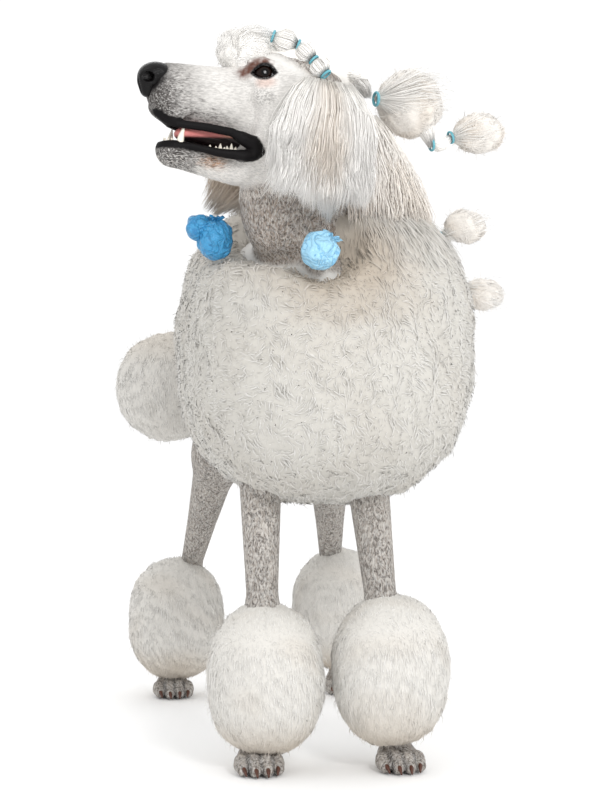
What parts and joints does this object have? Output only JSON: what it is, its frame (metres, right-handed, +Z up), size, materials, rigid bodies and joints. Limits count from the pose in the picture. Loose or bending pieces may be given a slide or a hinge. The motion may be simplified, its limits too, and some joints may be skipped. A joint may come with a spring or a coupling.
{
  "type": "standard poodle",
  "caption": "Life-size standing white poodle in a continental show clip, head turned aside, mouth open, ear tips wrapped and crown hair banded.",
  "frame": {"origin": "on the floor, under the middle of the dog's bounding box", "axes": "+Z up, -Y the way the body faces, +X towards the dog's left"},
  "size_m": [0.447, 0.8282, 0.8291],
  "materials": {
    "coat": "dense white curly and brushed-out hair, matte",
    "skin": "closely shaved grey-beige skin with short white hair, matte",
    "muzzle": "shaved dark grey muzzle skin with black lips",
    "nose": "moist black pebbled nose leather",
    "tongue": "moist pink tongue",
    "eye": "dark brown wet eye, glossy",
    "tooth": "ivory enamel, glossy",
    "claw": "reddish-brown horn",
    "wrap": "crumpled light blue plastic film",
    "band": "thin teal elastic"
  },
  "bodies": {
    "root": {"head": "skin", "lower_jaw": "muzzle", "nose": "nose", "tongue": "tongue", "eye_left": "eye", "eye_right": "eye", "ear_left": "coat", "ear_right": "coat", "ear_wrap_left": "wrap", "ear_wrap_right": "wrap", "forelock": "coat", "topknot": "coat", "neck_coat": "coat", "crown_tuft": "coat", "crown_tuft_end": "coat", "nape_tuft_upper": "coat", "nape_tuft_lower": "coat", "band_crown": "band", "band_tuft": "band", "band_tuft_end": "band", "band_nape_upper": "band", "band_nape_lower": "band", "neck": "skin", "torso_mane": "coat", "torso_loin": "skin", "foreleg_left": "skin", "foreleg_right": "skin", "hind_leg_left": "skin", "hind_leg_right": "skin", "bracelet_front_left": "coat", "bracelet_front_right": "coat", "bracelet_hind_left": "coat", "bracelet_hind_right": "coat", "paw_front_left": "skin", "paw_front_right": "skin", "paw_hind_left": "skin", "paw_hind_right": "skin", "tail": "skin", "tail_pompon": "coat", "braid_left": "coat", "band_braid_left_1": "band", "band_braid_left_2": "band", "band_braid_left_3": "band", "band_braid_left_4": "band", "braid_right": "coat", "band_braid_right_1": "band", "band_braid_right_2": "band", "band_braid_right_3": "band", "band_braid_right_4": "band"}
  },
  "joints": []
}
